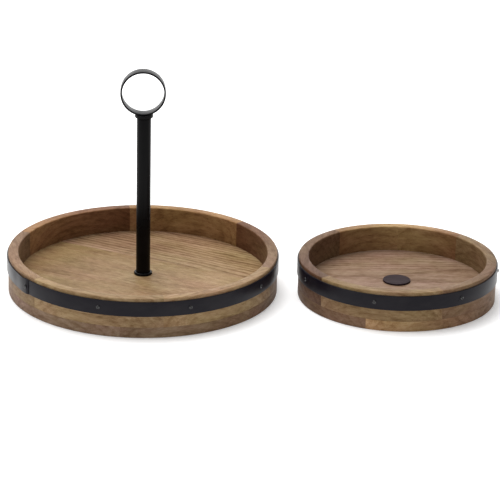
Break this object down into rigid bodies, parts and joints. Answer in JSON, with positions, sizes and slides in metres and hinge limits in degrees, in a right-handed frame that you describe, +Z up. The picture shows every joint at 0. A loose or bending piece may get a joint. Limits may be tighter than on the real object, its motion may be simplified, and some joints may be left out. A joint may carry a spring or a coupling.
{
  "type": "tiered cake stand",
  "caption": "Convertible tiered serving stand: round wooden trays with dark metal bands, a post with a ring handle, and a plug for the spare tray's hole.",
  "frame": {"origin": "on the table, under the centre of the whole set's bounding box; the large tray's axis is at x = -0.16225, y = 0 and the small tray's at x = 0.21545, y = -0.0086", "axes": "+Z up; +X from the large tray towards the small tray; -Y is the front, and the ring handle's hole runs along Y"},
  "size_m": [0.7306, 0.4054, 0.3374],
  "materials": {
    "rim_wood": "stained, satin",
    "rim_wood_dark": "stained, satin",
    "floor_wood": "stained, satin",
    "black_metal": "satin black",
    "plated_steel": "plated",
    "plug_finish": "matte dark brown"
  },
  "bodies": {
    "large_tray": {"base_washer": "plated_steel", "clamp_bolt": "plated_steel", "large_band": "black_metal", "large_band_screw_1": "black_metal", "large_band_screw_2": "black_metal", "large_band_screw_3": "black_metal", "large_band_screw_4": "black_metal", "large_band_screw_5": "black_metal", "large_band_screw_6": "black_metal", "large_band_screw_7": "black_metal", "large_band_screw_8": "black_metal", "large_band_screw_9": "black_metal", "large_floor_board_1": "floor_wood", "large_floor_board_2": "floor_wood", "large_floor_board_3": "floor_wood", "large_rim_lower_1": "rim_wood_dark", "large_rim_lower_2": "rim_wood_dark", "large_rim_lower_3": "rim_wood_dark", "large_rim_lower_4": "rim_wood_dark", "large_rim_lower_5": "rim_wood_dark", "large_rim_lower_6": "rim_wood_dark", "large_rim_upper_1": "rim_wood", "large_rim_upper_2": "rim_wood", "large_rim_upper_3": "rim_wood", "large_rim_upper_4": "rim_wood", "large_rim_upper_5": "rim_wood", "large_rim_upper_6": "rim_wood", "post_foot_flange": "black_metal", "post_foot_insert": "plated_steel", "post_top_insert": "plated_steel", "post_tube": "black_metal"},
    "handle_washer": {"handle_washer": "black_metal"},
    "ring_handle": {"ring_hoop": "black_metal", "ring_collar": "black_metal", "ring_stud": "plated_steel"},
    "small_tray": {"small_band": "black_metal", "small_band_screw_1": "black_metal", "small_band_screw_2": "black_metal", "small_band_screw_3": "black_metal", "small_band_screw_4": "black_metal", "small_band_screw_5": "black_metal", "small_band_screw_6": "black_metal", "small_band_screw_7": "black_metal", "small_floor_board_1": "floor_wood", "small_floor_board_2": "floor_wood", "small_floor_board_3": "floor_wood", "small_rim_lower_1": "rim_wood_dark", "small_rim_lower_2": "rim_wood_dark", "small_rim_lower_3": "rim_wood_dark", "small_rim_lower_4": "rim_wood_dark", "small_rim_lower_5": "rim_wood_dark", "small_rim_lower_6": "rim_wood_dark", "small_rim_upper_1": "rim_wood", "small_rim_upper_2": "rim_wood", "small_rim_upper_3": "rim_wood", "small_rim_upper_4": "rim_wood", "small_rim_upper_5": "rim_wood", "small_rim_upper_6": "rim_wood"},
    "plug": {"hole_plug": "plug_finish"}
  },
  "joints": [
    {"name": "handle_rise", "type": "slide", "parent": "large_tray", "child": "handle_washer", "axis": [0, 0, 1], "range_m": [0, 0.01]},
    {"name": "handle_turn", "type": "hinge", "parent": "handle_washer", "child": "ring_handle", "pos_m": [-0.16225, 0, 0.2664], "axis": [0, 0, 1], "range_deg": [0, 2880]},
    {"name": "small_tray_lift", "type": "slide", "parent": "large_tray", "child": "small_tray", "axis": [0, 0, 1], "range_m": [0, 0.3]},
    {"name": "plug_lift", "type": "slide", "parent": "small_tray", "child": "plug", "axis": [0, 0, 1], "range_m": [0, 0.05]}
  ],
  "couplings": [
    {"joint": "handle_rise", "follows": "handle_turn", "m_per_rad": 0.00019894}
  ]
}
